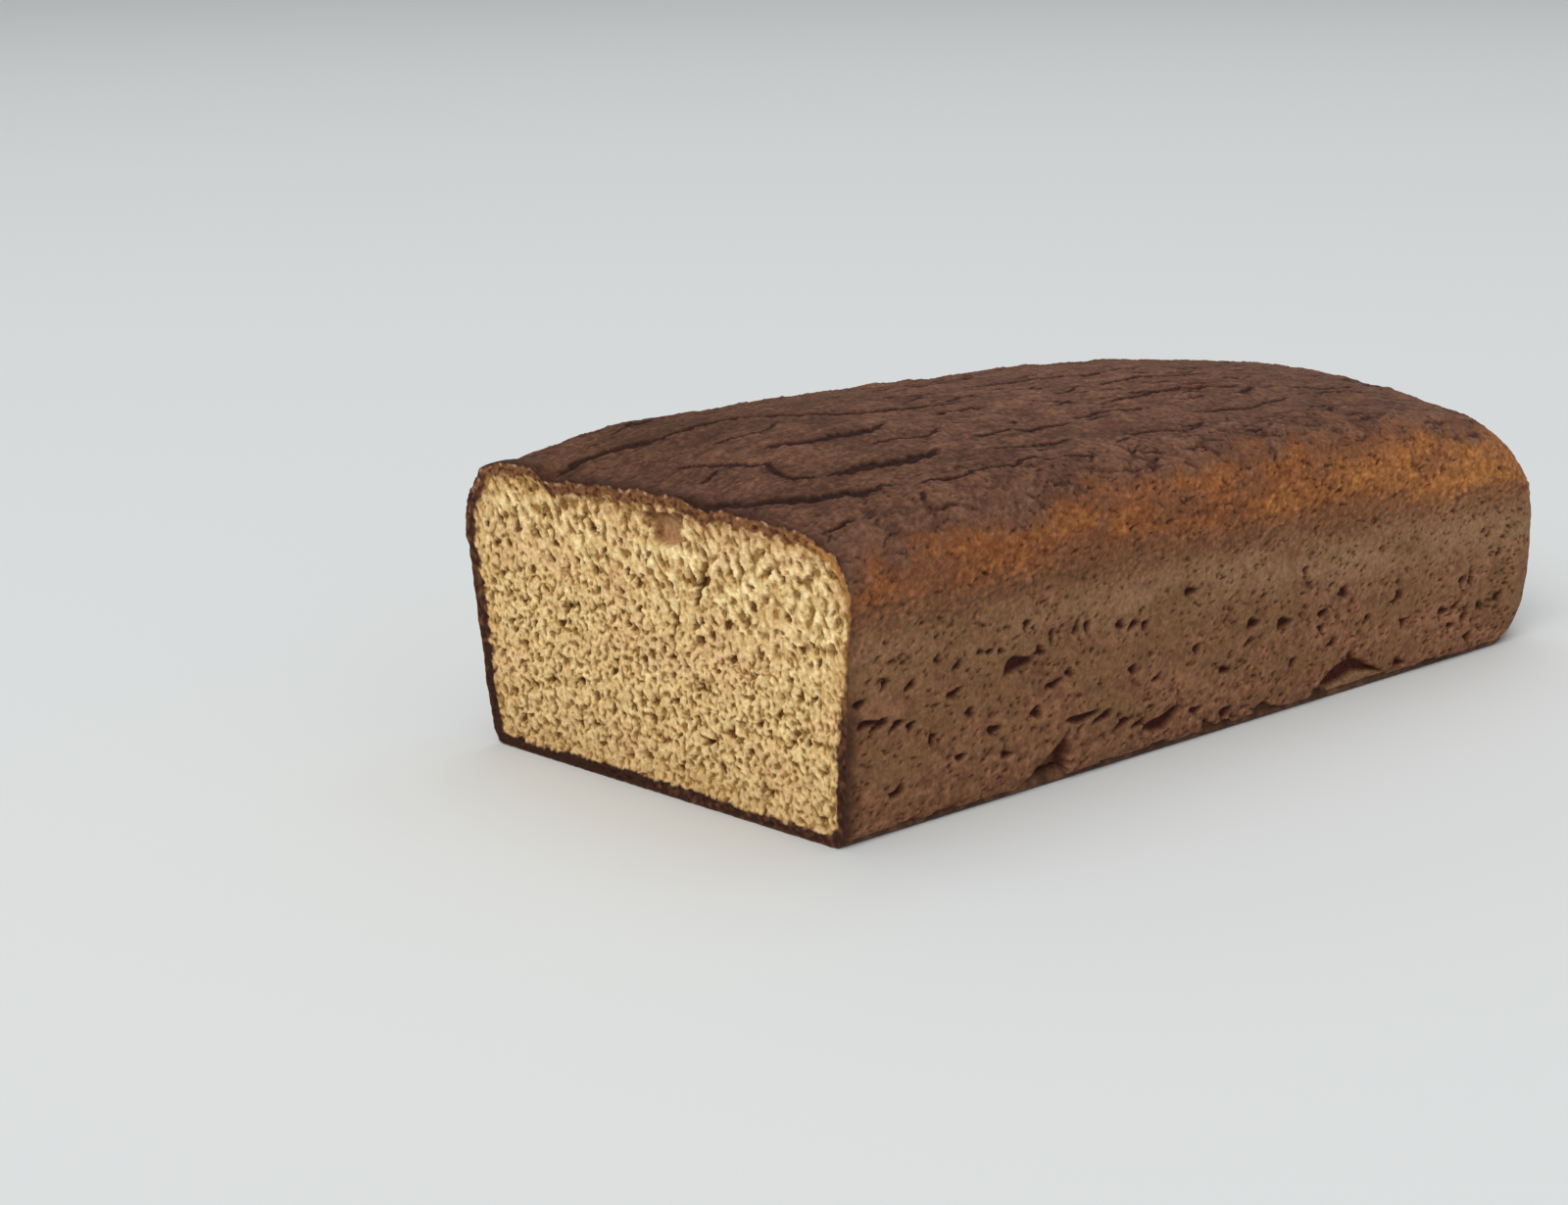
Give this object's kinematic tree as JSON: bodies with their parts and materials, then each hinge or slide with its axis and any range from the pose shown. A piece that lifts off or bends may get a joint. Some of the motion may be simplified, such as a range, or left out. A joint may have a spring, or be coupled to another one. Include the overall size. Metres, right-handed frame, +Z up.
{
  "type": "tin loaf",
  "caption": "Tin-baked loaf of bread with a low domed crust, cut open at one end to show the crumb; lies flat on its base.",
  "frame": {"origin": "middle of the loaf's bounding box in X and Y, on the flat base", "axes": "+Z up from the base, +Y along the loaf from the cut face to the closed end, +X across it"},
  "size_m": [0.1188, 0.2718, 0.081],
  "materials": {
    "bread": null
  },
  "bodies": {
    "root": {"loaf": "bread"}
  },
  "joints": []
}
